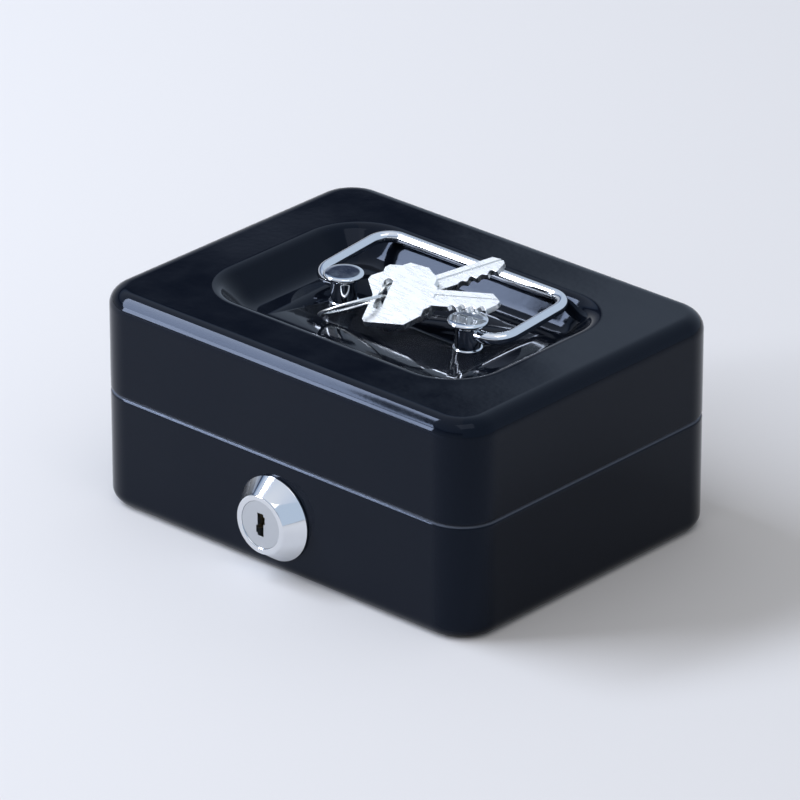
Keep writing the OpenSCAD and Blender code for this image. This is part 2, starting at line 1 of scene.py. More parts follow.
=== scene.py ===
"""A small powder-coated steel cash box, dressed over its CAD model. Metres, +Z up, lock at -Y."""
import math

import bmesh
import bpy
from mathutils import Matrix, Quaternion, Vector


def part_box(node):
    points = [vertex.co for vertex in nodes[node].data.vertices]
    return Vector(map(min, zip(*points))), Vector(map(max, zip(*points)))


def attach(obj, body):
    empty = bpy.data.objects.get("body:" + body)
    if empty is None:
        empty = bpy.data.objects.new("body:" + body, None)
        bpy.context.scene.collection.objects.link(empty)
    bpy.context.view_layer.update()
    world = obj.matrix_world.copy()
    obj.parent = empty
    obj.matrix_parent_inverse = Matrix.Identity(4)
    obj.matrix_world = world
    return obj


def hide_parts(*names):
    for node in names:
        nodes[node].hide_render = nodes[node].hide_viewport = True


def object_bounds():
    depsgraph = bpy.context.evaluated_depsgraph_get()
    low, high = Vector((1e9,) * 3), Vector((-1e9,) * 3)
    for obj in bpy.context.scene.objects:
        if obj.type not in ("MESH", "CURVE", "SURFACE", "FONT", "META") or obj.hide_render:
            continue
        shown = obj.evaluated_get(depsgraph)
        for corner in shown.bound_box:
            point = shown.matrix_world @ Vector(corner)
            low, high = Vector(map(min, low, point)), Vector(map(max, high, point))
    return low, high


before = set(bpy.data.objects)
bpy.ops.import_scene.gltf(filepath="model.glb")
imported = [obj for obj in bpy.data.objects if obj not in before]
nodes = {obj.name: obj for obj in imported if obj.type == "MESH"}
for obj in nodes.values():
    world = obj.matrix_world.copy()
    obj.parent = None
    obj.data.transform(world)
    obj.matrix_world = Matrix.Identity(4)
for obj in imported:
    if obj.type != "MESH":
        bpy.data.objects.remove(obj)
cad_low, cad_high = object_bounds()
MM = 0.001


# ---------------------------------------------------------------------------
# Studio: a pale floor that runs out of view, a dim sky, two windows and a soft lamp. The
# camera stands in front, to the right and a little above, behind a long lens.
# ---------------------------------------------------------------------------
CAMERA_AZIMUTH = 42.2           # degrees round from the front
CAMERA_ELEVATION = 25.3         # degrees above the level
CAMERA_DISTANCE = 1.759
CAMERA_LENS = 318               # millimetres
CAMERA_SENSOR = 36
CAMERA_TARGET = (0, -0.002, 0.031)
FLOOR_SIZE = 60.0
FLOOR_COLOUR = "#DFDFE0"
SKY_DIFFUSE = "#BCBEC2"
SKY_SEEN = [                    # what polished parts mirror: (sine of the height, colour)
    (0.00, "#E9EBEF"), (0.10, "#D5DAE2"), (0.385, "#8C97AC"), (0.408, "#2A344A"),
    (0.440, "#1E2638"), (0.470, "#8CA2C4"), (0.56, "#CBD8EC"), (0.82, "#DCE4F2"), (1.00, "#EEF2FA")]
PALE_WALL = "#C2D2E6"           # a pale wall behind the box, whose upright edge its top mirrors
PALE_WALL_EDGE = -138.8         # azimuth of that edge, in degrees
PALE_WALL_BLUR = 0.01


def linear(hex_colour):
    """An sRGB hex value as the linear colour that a shader takes."""
    channels = [int(hex_colour[i:i + 2], 16) / 255 for i in (1, 3, 5)]
    return tuple(c / 12.92 if c <= 0.04045 else ((c + 0.055) / 1.055) ** 2.4 for c in channels) + (1.0,)


def add_node(tree, kind, settings=None, **inputs):
    """Adds a node. A value that is another node's socket is linked; any other value is set."""
    node = tree.nodes.new(kind)
    for name, value in (settings or {}).items():
        setattr(node, name, value)
    for name, value in inputs.items():
        key = int(name[1:]) if name[0] == "i" and name[1:].isdigit() else name.replace("_", " ")
        socket = node.inputs[key]
        if isinstance(value, bpy.types.NodeSocket):
            tree.links.new(value, socket)
        else:
            socket.default_value = value
    return node


def new_material(name):
    """A material with an empty node tree but for its output."""
    material = bpy.data.materials.new(name)
    material.use_nodes = True
    material.node_tree.nodes.clear()
    output = material.node_tree.nodes.new("ShaderNodeOutputMaterial")
    return material, material.node_tree, output


def make_floor():
    """A matt floor so wide that its edges are never seen."""
    mesh = bpy.data.meshes.new("studio_floor")
    half = FLOOR_SIZE / 2
    corners = [(-half, -half, 0), (half, -half, 0), (half, half, 0), (-half, half, 0)]
    mesh.from_pydata(corners, [], [(0, 1, 2, 3)])
    floor = bpy.data.objects.new("studio_floor", mesh)
    bpy.context.scene.collection.objects.link(floor)
    material, tree, output = new_material("matt_studio_floor")
    shader = add_node(tree, "ShaderNodeBsdfDiffuse", Color=linear(FLOOR_COLOUR))
    tree.links.new(shader.outputs[0], output.inputs["Surface"])
    mesh.materials.append(material)


def make_sky():
    """White to the camera, a plain grey to matt surfaces, and the bands of SKY_SEEN and the pale
    wall to polished ones."""
    world = bpy.data.worlds.new("studio")
    bpy.context.scene.world = world
    world.use_nodes = True
    tree = world.node_tree
    tree.nodes.clear()
    around = add_node(tree, "ShaderNodeTexCoord")
    split = add_node(tree, "ShaderNodeSeparateXYZ", Vector=around.outputs["Generated"])
    seen = add_node(tree, "ShaderNodeValToRGB", Fac=split.outputs["Z"])
    stops = seen.color_ramp.elements
    while len(stops) < len(SKY_SEEN):
        stops.new(0.5)
    for stop, (place, colour) in zip(stops, SKY_SEEN):
        stop.position, stop.color = place, linear(colour)
    edge = math.radians(PALE_WALL_EDGE)
    beyond = add_node(tree, "ShaderNodeVectorMath", {"operation": "DOT_PRODUCT"},
                      i0=around.outputs["Generated"], i1=(-math.cos(edge), -math.sin(edge), 0))
    wall = add_node(tree, "ShaderNodeMapRange", Value=beyond.outputs["Value"], From_Min=-PALE_WALL_BLUR,
                    From_Max=PALE_WALL_BLUR)
    walled = add_node(tree, "ShaderNodeMix", {"data_type": "RGBA"}, i0=wall.outputs["Result"],
                      i6=seen.outputs["Color"], i7=linear(PALE_WALL))
    path = add_node(tree, "ShaderNodeLightPath")
    mirror = add_node(tree, "ShaderNodeMath", {"operation": "MAXIMUM"}, i0=path.outputs["Is Glossy Ray"],
                      i1=path.outputs["Is Transmission Ray"])
    lit = add_node(tree, "ShaderNodeMix", {"data_type": "RGBA"}, i0=mirror.outputs[0],
                   i6=linear(SKY_DIFFUSE), i7=walled.outputs[2])
    shown = add_node(tree, "ShaderNodeMix", {"data_type": "RGBA"}, i0=path.outputs["Is Camera Ray"],
                     i6=lit.outputs[2], i7=linear("#FFFFFF"))
    back = add_node(tree, "ShaderNodeBackground", Color=shown.outputs[2], Strength=1.0)
    output = tree.nodes.new("ShaderNodeOutputWorld")
    tree.links.new(back.outputs[0], output.inputs["Surface"])


def add_lamp(name, azimuth, elevation, distance, width, height, watts, colour, lean=0):
    """A soft rectangular lamp that faces the box. Azimuth is counted as the camera's is; a lean
    tips the lamp's top to the right, as seen from behind it."""
    a, e = math.radians(azimuth), math.radians(elevation)
    back = Vector((math.sin(a) * math.cos(e), -math.cos(a) * math.cos(e), math.sin(e)))
    data = bpy.data.lights.new(name, "AREA")
    data.shape = "RECTANGLE"
    data.size, data.size_y = width, height
    data.energy = watts
    data.color = linear(colour)[:3]
    lamp = bpy.data.objects.new(name, data)
    lamp.location = back * distance + Vector((0, 0, cad_high.z / 2))
    lamp.rotation_mode = "QUATERNION"
    lamp.rotation_quaternion = (-back).to_track_quat("-Z", "Y") @ Quaternion((0, 0, 1), math.radians(lean))
    bpy.context.scene.collection.objects.link(lamp)


def make_camera():
    """A long lens that looks down on the box from the front right."""
    a, e = math.radians(CAMERA_AZIMUTH), math.radians(CAMERA_ELEVATION)
    back = Vector((math.sin(a) * math.cos(e), -math.cos(a) * math.cos(e), math.sin(e)))
    data = bpy.data.cameras.new("camera")
    data.lens = CAMERA_LENS
    data.sensor_width = CAMERA_SENSOR
    data.clip_start, data.clip_end = 0.05, 200
    camera = bpy.data.objects.new("camera", data)
    camera.location = Vector(CAMERA_TARGET) + back * CAMERA_DISTANCE
    camera.rotation_mode = "QUATERNION"
    camera.rotation_quaternion = (-back).to_track_quat("-Z", "Y")
    bpy.context.scene.collection.objects.link(camera)
    bpy.context.scene.camera = camera


bpy.context.scene.view_settings.view_transform = "Standard"
make_floor()
make_sky()
add_lamp("long_window", azimuth=-58.8, elevation=39.2, distance=1.5, width=0.30, height=1.34, watts=21,
         colour="#E9F0FF", lean=45)
add_lamp("low_window", azimuth=-39, elevation=12, distance=1.5, width=0.26, height=0.42, watts=7.5,
         colour="#EEF3FF")
add_lamp("fill_lamp", azimuth=60, elevation=70, distance=1.8, width=0.9, height=0.9, watts=3.0,
         colour="#FFF4EA")
make_camera()


# ---------------------------------------------------------------------------
# Case body: a pressed tray of 0.8 mm mild steel. Its wall turns in at the seam and
# rises as a neck inside the lid. Powder-coated gloss black, inside and out.
# ---------------------------------------------------------------------------
SHEET = 0.8
CORNER_R = 11.0
BASE_EDGE_R = 3.5
SEAM_Z = 31.0
SEAM_GAP = 0.4
NECK_H = 5.0
NECK_GAP = 0.3
LIP_R = 0.25                     # the coat rounds every cut edge of the sheet
CORNER_STEPS = 20
BEND_STEPS = 10
HOLD = 0.5                       # from each bend to an extra edge loop, so that flat panels shade flat
NECK_FILL, LEDGE_FILL, WALL_FILL = 0.05, 0.1, 0.3    # the coat fills the inside corners
HOLE_PLAY = 0.1                  # between a hole's edge and what passes through it

box_low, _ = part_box("body_shell")
_, lid_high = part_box("lid_shell")
BOX_W = -2 * box_low.x / MM
BOX_D = -2 * box_low.y / MM
BOX_H = lid_high.z / MM


def arc(cx, cz, r, start, end, steps=BEND_STEPS):
    """Points on an arc in a section, from one angle to another in degrees."""
    angles = [math.radians(start + (end - start) * i / steps) for i in range(steps + 1)]
    return [(cx + r * math.cos(t), cz + r * math.sin(t)) for t in angles]


def corner_loop(reach_x, reach_y, out, z):
    """One closed loop round the box: out is the distance from the corners' centres."""
    loop = []
    for turn in range(4):
        across, along = (reach_x, reach_y) if turn % 2 == 0 else (reach_y, reach_x)
        base = Matrix.Rotation(turn * math.pi / 2, 3, "Z")
        hold = min(HOLD, along * 0.5)
        loop.append(base @ Vector((across + out, along - hold, z)))
        for i in range(CORNER_STEPS + 1):
            t = i / CORNER_STEPS * math.pi / 2
            loop.append(base @ Vector((across + out * math.cos(t), along + out * math.sin(t), z)))
        loop.append(base @ Vector((across - hold, along + out, z)))
    return [p * MM for p in loop]


def sweep_shell(name, stations):
    """A closed shell from loops in order; each station is (reach_x, reach_y, out, z)."""
    loops = [corner_loop(*station) for station in stations]
    count = len(loops[0])
    points = [p for loop in loops for p in loop]
    faces = []
    for k in range(len(loops) - 1):
        for i in range(count):
            j = (i + 1) % count
            faces.append((k * count + i, k * count + j, (k + 1) * count + j, (k + 1) * count + i))
    faces.append(tuple(range(count - 1, -1, -1)))
    faces.append(tuple((len(loops) - 1) * count + i for i in range(count)))
    mesh = bpy.data.meshes.new(name)
    mesh.from_pydata(points, [], faces)
    return finish_mesh(name, mesh)


def finish_mesh(name, mesh, crease=40):
    """Turns faces outwards, smooths all but sharp edges and links the object at the origin."""
    work = bmesh.new()
    work.from_mesh(mesh)
    bmesh.ops.recalc_face_normals(work, faces=work.faces)
    for face in work.faces:
        face.smooth = True
    for edge in work.edges:
        if len(edge.link_faces) == 2:
            edge.smooth = edge.calc_face_angle() < math.radians(crease)
    work.to_mesh(mesh)
    work.free()
    piece = bpy.data.objects.new(name, mesh)
    bpy.context.scene.collection.objects.link(piece)
    return piece


def cut_away(piece, cutter):
    """Takes the cutter's shape out of a piece, applies the cut and removes the cutter."""
    cut = piece.modifiers.new("cut", "BOOLEAN")
    cut.operation, cut.solver, cut.object = "DIFFERENCE", "EXACT", cutter
    graph = bpy.context.evaluated_depsgraph_get()
    result = bpy.data.meshes.new_from_object(piece.evaluated_get(graph))
    piece.modifiers.clear()
    old = piece.data
    cutter_mesh = cutter.data
    piece.data = result
    bpy.data.meshes.remove(old)
    bpy.data.objects.remove(cutter)
    bpy.data.meshes.remove(cutter_mesh)
    result.name = piece.name


def drill(piece, centre, axis, radius, depth):
    """Cuts a round hole through a piece."""
    cutter_mesh = bpy.data.meshes.new("cutter")
    work = bmesh.new()
    turn = Vector((0, 0, 1)).rotation_difference(Vector(axis)).to_matrix().to_4x4()
    bmesh.ops.create_cone(work, cap_ends=True, segments=48, radius1=radius * MM, radius2=radius * MM,
                          depth=depth * MM, matrix=Matrix.Translation(Vector(centre) * MM) @ turn)
    work.to_mesh(cutter_mesh)
    work.free()
    cutter = bpy.data.objects.new("cutter", cutter_mesh)
    bpy.context.scene.collection.objects.link(cutter)
    cut_away(piece, cutter)


RECESS_DROP = 7.0                # depth of the well in the lid
DISH_X, DISH_Y = 34.0, 20.0      # half sizes of the bowl that drawing leaves in the well's floor
DISH_DEPTH = 0.5
DISH_OVER, DISH_UNDER = 1.2, 0.5  # the bowl reaches so far over and under that floor


def well_dish(tree, place):
    """The height by which drawing has dished the lid's well, as a socket: a shallow bowl, zero elsewhere."""
    split = add_node(tree, "ShaderNodeSeparateXYZ", Vector=place)
    across = add_node(tree, "ShaderNodeMath", {"operation": "DIVIDE"}, i0=split.outputs["X"], i1=DISH_X * MM)
    along = add_node(tree, "ShaderNodeMath", {"operation": "DIVIDE"}, i0=split.outputs["Y"], i1=DISH_Y * MM)
    flat = add_node(tree, "ShaderNodeCombineXYZ", X=across.outputs[0], Y=along.outputs[0])
    reach = add_node(tree, "ShaderNodeVectorMath", {"operation": "DOT_PRODUCT"}, i0=flat.outputs[0],
                     i1=flat.outputs[0])
    bowl = add_node(tree, "ShaderNodeMapRange", Value=reach.outputs["Value"], From_Min=0.0, From_Max=1.0,
                    To_Min=-DISH_DEPTH * MM, To_Max=0.0)
    low = add_node(tree, "ShaderNodeMath", {"operation": "LESS_THAN"}, i0=split.outputs["Z"],
                   i1=(BOX_H - RECESS_DROP + DISH_OVER) * MM)
    high = add_node(tree, "ShaderNodeMath", {"operation": "GREATER_THAN"}, i0=split.outputs["Z"],
                    i1=(BOX_H - RECESS_DROP - DISH_UNDER) * MM)
    inside = add_node(tree, "ShaderNodeMath", {"operation": "MULTIPLY"}, i0=low.outputs[0],
                      i1=high.outputs[0])
    return add_node(tree, "ShaderNodeMath", {"operation": "MULTIPLY"}, i0=bowl.outputs["Result"],
                    i1=inside.outputs[0]).outputs[0]


LEDGE_Z = SEAM_Z - SEAM_GAP / 2
PEEL_SIZE, PEEL_HEIGHT = 1.6, 0.004    # the coat's orange peel
SWAY_SIZE, SWAY_HEIGHT = 46.0, 0.5     # the slow waves of thin pressed panels
DUST_SIZE = 9.0
SEAM_HIGHLIGHT_BELOW = 0.15                # painted highlight: a pale grey line in the coat's colour, centred this far under the ledge, stands in for the light the seam catches
SEAM_HIGHLIGHT_CORE, SEAM_HIGHLIGHT_EDGE = 0.1, 0.4  # half widths of that painted highlight line, where it is full and where it ends


def gloss_black_powder_coat():
    """Polyester powder baked to a deep gloss: nearly black with a blue cast, and orange peel
    whose bumps are 1 to 2 mm across, so reflections are clear but their edges waver. The broad
    sway of the thin panels, and the dish of the well's floor, move them a little more."""
    material, tree, output = new_material("gloss_black_powder_coat")
    place = add_node(tree, "ShaderNodeTexCoord").outputs["Object"]
    peel = add_node(tree, "ShaderNodeTexNoise", Vector=place, Scale=1 / (PEEL_SIZE * MM), Detail=1.5,
                    Roughness=0.45)
    sway = add_node(tree, "ShaderNodeTexNoise", Vector=place, Scale=1 / (SWAY_SIZE * MM), Detail=1.0)
    peel_height = add_node(tree, "ShaderNodeMath", {"operation": "MULTIPLY"}, i0=peel.outputs["Fac"],
                           i1=PEEL_HEIGHT * MM)
    height = add_node(tree, "ShaderNodeMath", {"operation": "MULTIPLY_ADD"}, i0=sway.outputs["Fac"],
                      i1=SWAY_HEIGHT * MM, i2=peel_height.outputs[0])
    dished = add_node(tree, "ShaderNodeMath", {"operation": "ADD"}, i0=height.outputs[0],
                      i1=well_dish(tree, place))
    bump = add_node(tree, "ShaderNodeBump", Strength=1.0, Distance=1.0, Height=dished.outputs[0])
    dust = add_node(tree, "ShaderNodeTexNoise", Vector=place, Scale=1 / (DUST_SIZE * MM), Detail=5.0)
    rough = add_node(tree, "ShaderNodeMapRange", Value=dust.outputs["Fac"], From_Min=0.3, From_Max=0.7,
                     To_Min=0.05, To_Max=0.11)
    # Painted highlight: the base colour turns pale grey in a thin band along the seam under the ledge,
    # standing in for the light that the ledge's bend catches.
    height_at = add_node(tree, "ShaderNodeSeparateXYZ", Vector=place).outputs["Z"]
    from_edge = add_node(tree, "ShaderNodeMath", {"operation": "SUBTRACT"}, i0=height_at,
                         i1=(LEDGE_Z - SEAM_HIGHLIGHT_BELOW) * MM)
    away = add_node(tree, "ShaderNodeMath", {"operation": "ABSOLUTE"}, i0=from_edge.outputs[0])
    painted_seam_highlight = add_node(tree, "ShaderNodeMapRange", Value=away.outputs[0], From_Min=SEAM_HIGHLIGHT_CORE * MM,
                    From_Max=SEAM_HIGHLIGHT_EDGE * MM, To_Min=1.0, To_Max=0.0)
    colour = add_node(tree, "ShaderNodeMix", {"data_type": "RGBA"}, i0=painted_seam_highlight.outputs["Result"],
                      i6=linear("#0B0F17"), i7=linear("#5E6572"))
    shader = add_node(tree, "ShaderNodeBsdfPrincipled", Base_Color=colour.outputs[2], IOR=1.46,
                      Specular_IOR_Level=0.20, Specular_Tint=linear("#C8DCFF"),
                      Roughness=rough.outputs["Result"], Normal=bump.outputs["Normal"])
    tree.links.new(shader.outputs[0], output.inputs["Surface"])
    return material


powder_coat = gloss_black_powder_coat()
REACH_X = BOX_W / 2 - CORNER_R
REACH_Y = BOX_D / 2 - CORNER_R
NECK_OUT = CORNER_R - SHEET - NECK_GAP
NECK_IN = NECK_OUT - SHEET
NECK_TOP = SEAM_Z + NECK_H
LEDGE_BEND_R = SHEET + 0.2       # a tight bend: 0.2 mm on its inside


def body_stations():
    """The case's section: up the outside from the base, over the ledge and the neck, down the inside."""
    base_c = CORNER_R - BASE_EDGE_R
    wall_in = CORNER_R - SHEET
    bend_c = (CORNER_R - LEDGE_BEND_R, LEDGE_Z - LEDGE_BEND_R)
    section = [(base_c - HOLD, 0)] + arc(base_c, BASE_EDGE_R, BASE_EDGE_R, -90, 0)
    section += [(CORNER_R, BASE_EDGE_R + HOLD), (CORNER_R, bend_c[1] - HOLD)]
    section += arc(*bend_c, LEDGE_BEND_R, 0, 90, 6)
    section += [(NECK_OUT + NECK_FILL, LEDGE_Z), (NECK_OUT, LEDGE_Z + NECK_FILL)]
    section += [(NECK_OUT, LEDGE_Z + HOLD)]
    section += [(NECK_OUT, NECK_TOP - LIP_R - HOLD)]
    section += arc(NECK_OUT - LIP_R, NECK_TOP - LIP_R, LIP_R, 0, 90, 4)
    section += arc(NECK_IN + LIP_R, NECK_TOP - LIP_R, LIP_R, 90, 180, 4)
    section += [(NECK_IN, NECK_TOP - LIP_R - HOLD)]
    under = LEDGE_Z - SHEET
    section += [(NECK_IN, under + LEDGE_FILL), (NECK_IN + LEDGE_FILL, under)]
    section += [(wall_in - WALL_FILL, under), (wall_in, under - WALL_FILL), (wall_in, BASE_EDGE_R + HOLD)]
    section += arc(base_c, BASE_EDGE_R, BASE_EDGE_R - SHEET, 0, -90) + [(base_c - HOLD, SHEET)]
    return [(REACH_X, REACH_Y, out, z) for out, z in section]


body = sweep_shell("body_pressing", body_stations())
lock_low, lock_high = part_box("lock_housing")
LOCK_Z = (lock_low.z + lock_high.z) / 2 / MM
BARREL_R = 8.0
drill(body, (0, -BOX_D / 2, LOCK_Z), axis=(0, 1, 0), radius=BARREL_R + HOLE_PLAY, depth=6)
body.data.materials.append(powder_coat)
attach(body, "case")
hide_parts("body_shell")


# ---------------------------------------------------------------------------
# Lid: one pressing of the same sheet. Its top is drawn down into a shallow well with
# sloping walls, in which the handle lies about level with the rim.
# ---------------------------------------------------------------------------
LID_EDGE_R = 4.5
RECESS_W, RECESS_R = 91.5, 16.0  # at the mouth
RECESS_SLOPE = 45                # degrees
RECESS_ROLL_R = 4.0
RECESS_FILLET_R = 7.0
LID_BOTTOM = SEAM_Z + SEAM_GAP / 2
RECESS_Z = BOX_H - RECESS_DROP

# The bail, lying, clears the wall by BAIL_REST_GAP, and so sets the recess's depth to front and back.
BAIL_R = 1.5
BAIL_BAR_Y = 27.0
BAIL_LIFT = 5.0
BAIL_REST_GAP = 0.3
PIVOT_Z = RECESS_Z + 4.5
SIN_SLOPE, COS_SLOPE = math.sin(math.radians(RECESS_SLOPE)), math.cos(math.radians(RECESS_SLOPE))
WALL_BENDS = RECESS_ROLL_R + RECESS_FILLET_R
WALL_RUN = (RECESS_DROP - WALL_BENDS * (1 - COS_SLOPE)) * COS_SLOPE / SIN_SLOPE
RECESS_SIDE = WALL_BENDS * SIN_SLOPE + WALL_RUN
BAR_LIES_BELOW = BOX_H - PIVOT_Z - BAIL_BAR_Y * math.sin(math.radians(BAIL_LIFT))
BAR_TO_MOUTH = (BAIL_R + BAIL_REST_GAP + RECESS_ROLL_R
                - (RECESS_ROLL_R - BAR_LIES_BELOW) * COS_SLOPE) / SIN_SLOPE
RECESS_D = 2 * (BAIL_BAR_Y * math.cos(math.radians(BAIL_LIFT)) + BAR_TO_MOUTH)
RECESS_REACH_X = RECESS_W / 2 - RECESS_R
RECESS_REACH_Y = RECESS_D / 2 - RECESS_R


def lid_stations():
    """The lid's upper skin, from the lip to the floor of the well, and its lower skin back again."""
    edge_c = (CORNER_R - LID_EDGE_R, BOX_H - LID_EDGE_R)
    roll_c = (RECESS_R, BOX_H - RECESS_ROLL_R)
    fillet_c = (RECESS_R - RECESS_SIDE, RECESS_Z + RECESS_FILLET_R)
    wall_in = CORNER_R - SHEET
    foot = -90 + RECESS_SLOPE

    def outside(points):
        return [(REACH_X, REACH_Y, out, z) for out, z in points]

    def well(points):
        return [(RECESS_REACH_X, RECESS_REACH_Y, out, z) for out, z in points]

    top = arc(CORNER_R - LIP_R, LID_BOTTOM + LIP_R, LIP_R, -90, 0, 4)
    top += [(CORNER_R, LID_BOTTOM + LIP_R + HOLD), (CORNER_R, edge_c[1] - HOLD)]
    top += arc(*edge_c, LID_EDGE_R, 0, 90, 14) + [(edge_c[0] - HOLD, BOX_H)]
    dish = [(roll_c[0] + HOLD, BOX_H)] + arc(*roll_c, RECESS_ROLL_R, 90, 90 + RECESS_SLOPE, 12)
    dish += arc(*fillet_c, RECESS_FILLET_R, foot, -90, 16) + [(fillet_c[0] - HOLD, RECESS_Z)]
    under = [(fillet_c[0] - HOLD, RECESS_Z - SHEET)]
    under += arc(*fillet_c, RECESS_FILLET_R + SHEET, -90, foot, 16)
    under += arc(*roll_c, RECESS_ROLL_R - SHEET, 90 + RECESS_SLOPE, 90, 12)
    under += [(roll_c[0] + HOLD, BOX_H - SHEET)]
    inside = [(edge_c[0] - HOLD, BOX_H - SHEET)] + arc(*edge_c, LID_EDGE_R - SHEET, 90, 0)
    inside += [(wall_in, edge_c[1] - HOLD), (wall_in, LID_BOTTOM + LIP_R + HOLD)]
    inside += arc(wall_in + LIP_R, LID_BOTTOM + LIP_R, LIP_R, 180, 270, 4)
    return outside(top) + well(dish), well(under) + outside(inside)


def close_lid(name, upper, lower):
    """Joins the lid's two skins at the lip, and closes each at the floor of the well."""
    loops = [corner_loop(*station) for station in upper + lower]
    count = len(loops[0])
    points = [p for loop in loops for p in loop]
    faces = []
    for k in range(len(loops)):
        if k == len(upper) - 1:
            continue
        n = (k + 1) % len(loops)
        for i in range(count):
            j = (i + 1) % count
            faces.append((k * count + i, k * count + j, n * count + j, n * count + i))
    faces.append(tuple((len(upper) - 1) * count + i for i in range(count)))
    faces.append(tuple(len(upper) * count + i for i in range(count - 1, -1, -1)))
    mesh = bpy.data.meshes.new(name)
    mesh.from_pydata(points, [], faces)
    return finish_mesh(name, mesh)


lid = close_lid("lid_pressing", *lid_stations())
POST_PITCH = 41.4
SHANK_R = 2.0
for side in (-1, 1):
    drill(lid, (side * POST_PITCH / 2, 0, RECESS_Z - SHEET / 2), axis=(0, 0, 1), radius=SHANK_R + HOLE_PLAY,
          depth=3)
lid.data.materials.append(powder_coat)
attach(lid, "lid")
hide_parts("lid_shell")


# ---------------------------------------------------------------------------
# Hinges: two butt hinges outside the back wall, stamped and rolled from strip, spot-welded
# on and sprayed with the case. Their pins are bare zinc-plated wire.
# ---------------------------------------------------------------------------
SAME_POINT = 0.2e-6              # metres
FLAT_ANGLE = 0.6                 # degrees


def dressed(node, body_name, material, edge=0.1, crease=32, segments=2):
    """A clean copy of a stamped or turned CAD part, its edges broken as tumbling and plating
    leave them: doubles merged, flat faces joined and sharp edges bevelled."""
    mesh = nodes[node].data.copy()
    mesh.name = node + "_piece"
    mesh.materials.clear()
    work = bmesh.new()
    work.from_mesh(mesh)
    bmesh.ops.remove_doubles(work, verts=work.verts, dist=SAME_POINT)
    bmesh.ops.dissolve_limit(work, angle_limit=math.radians(FLAT_ANGLE), verts=work.verts, edges=work.edges)
    for face in work.faces:
        face.smooth = True
    for e in work.edges:
        e.smooth = len(e.link_faces) == 2 and e.calc_face_angle() < math.radians(crease)
    work.to_mesh(mesh)
    work.free()
    piece = bpy.data.objects.new(node + "_piece", mesh)
    bpy.context.scene.collection.objects.link(piece)
    if edge:
        bevel = piece.modifiers.new("broken_edges", "BEVEL")
        bevel.width = edge * MM
        bevel.segments = segments
        bevel.limit_method = "ANGLE"
        bevel.angle_limit = math.radians(crease)
        bevel.use_clamp_overlap = True
        bevel.harden_normals = True
    mesh.materials.append(material)
    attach(piece, body_name)
    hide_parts(node)
    return piece


ZINC_CLOUD = 2.5
ZINC_GRAIN, ZINC_GRAIN_HEIGHT = 0.25, 0.0008


def zinc_plated_steel():
    """Bright zinc on stamped steel: blue-white with a soft grain and faint cloudiness from the bath."""
    material, tree, output = new_material("bright_zinc_plated_steel")
    place = add_node(tree, "ShaderNodeTexCoord").outputs["Object"]
    cloud = add_node(tree, "ShaderNodeTexNoise", Vector=place, Scale=1 / (ZINC_CLOUD * MM), Detail=4.0)
    tint = add_node(tree, "ShaderNodeValToRGB", Fac=cloud.outputs["Fac"])
    dull, bright = tint.color_ramp.elements
    dull.position, dull.color = 0.35, linear("#A9AFB6")
    bright.position, bright.color = 0.7, linear("#CBD0D6")
    grain = add_node(tree, "ShaderNodeTexNoise", Vector=place, Scale=1 / (ZINC_GRAIN * MM), Detail=2.0)
    bump = add_node(tree, "ShaderNodeBump", Strength=1.0, Distance=ZINC_GRAIN_HEIGHT * MM,
                    Height=grain.outputs["Fac"])
    rough = add_node(tree, "ShaderNodeMapRange", Value=cloud.outputs["Fac"], To_Min=0.24, To_Max=0.42)
    shader = add_node(tree, "ShaderNodeBsdfPrincipled", Base_Color=tint.outputs["Color"], Metallic=1.0,
                      Roughness=rough.outputs["Result"], Normal=bump.outputs["Normal"])
    tree.links.new(shader.outputs[0], output.inputs["Surface"])
    return material


zinc = zinc_plated_steel()
for side in ("left", "right"):
    dressed("hinge_leaf_body_" + side, "case", powder_coat, 0.12)
    dressed("hinge_leaf_lid_" + side, "lid", powder_coat, 0.12)
    dressed("hinge_pin_" + side, "case", zinc, 0.2)


# ---------------------------------------------------------------------------
# Handle: a bail of 3 mm chromed wire whose ends turn into two turned and chromed
# posts. Each post's shank passes the lid and a washer, and is riveted over below.
# ---------------------------------------------------------------------------
BAIL_ARM_X = 31.0
BAIL_BEND_R = 5.5
BAIL_END_X = 20.9                # the wire's ends lie inside the posts
BAIL_END_STRAIGHT = 2.0
BAIL_SIDES = 40
BAIL_PLAY = 0.05                 # round the wire in the posts' bores
CHROME_HAZE = 3.0
CHROME_WAVE, CHROME_WAVE_HEIGHT = 1.8, 0.003
END_DOME = (0.12, 0.35, 0.65)    # how far up a wire end's dome its rings stand
DOME_DEPTH, DOME_POWER = 0.5, 1.6    # the dome's depth to the wire's radius, and how fast it swells


def chrome_plate():
    """Bright chrome on polished steel: a faint blue, mirror smooth, with a light bloom of handling."""
    material, tree, output = new_material("bright_chrome_plate")
    place = add_node(tree, "ShaderNodeTexCoord").outputs["Object"]
    haze = add_node(tree, "ShaderNodeTexNoise", Vector=place, Scale=1 / (CHROME_HAZE * MM), Detail=5.0)
    rough = add_node(tree, "ShaderNodeMapRange", Value=haze.outputs["Fac"], From_Min=0.35, From_Max=0.75,
                     To_Min=0.045, To_Max=0.12)
    wave = add_node(tree, "ShaderNodeTexNoise", Vector=place, Scale=1 / (CHROME_WAVE * MM), Detail=1.0)
    bump = add_node(tree, "ShaderNodeBump", Strength=1.0, Distance=CHROME_WAVE_HEIGHT * MM,
                    Height=wave.outputs["Fac"])
    shader = add_node(tree, "ShaderNodeBsdfPrincipled", Base_Color=linear("#E3E6EA"), Metallic=1.0,
                      Roughness=rough.outputs["Result"], Normal=bump.outputs["Normal"])
    tree.links.new(shader.outputs[0], output.inputs["Surface"])
    return material


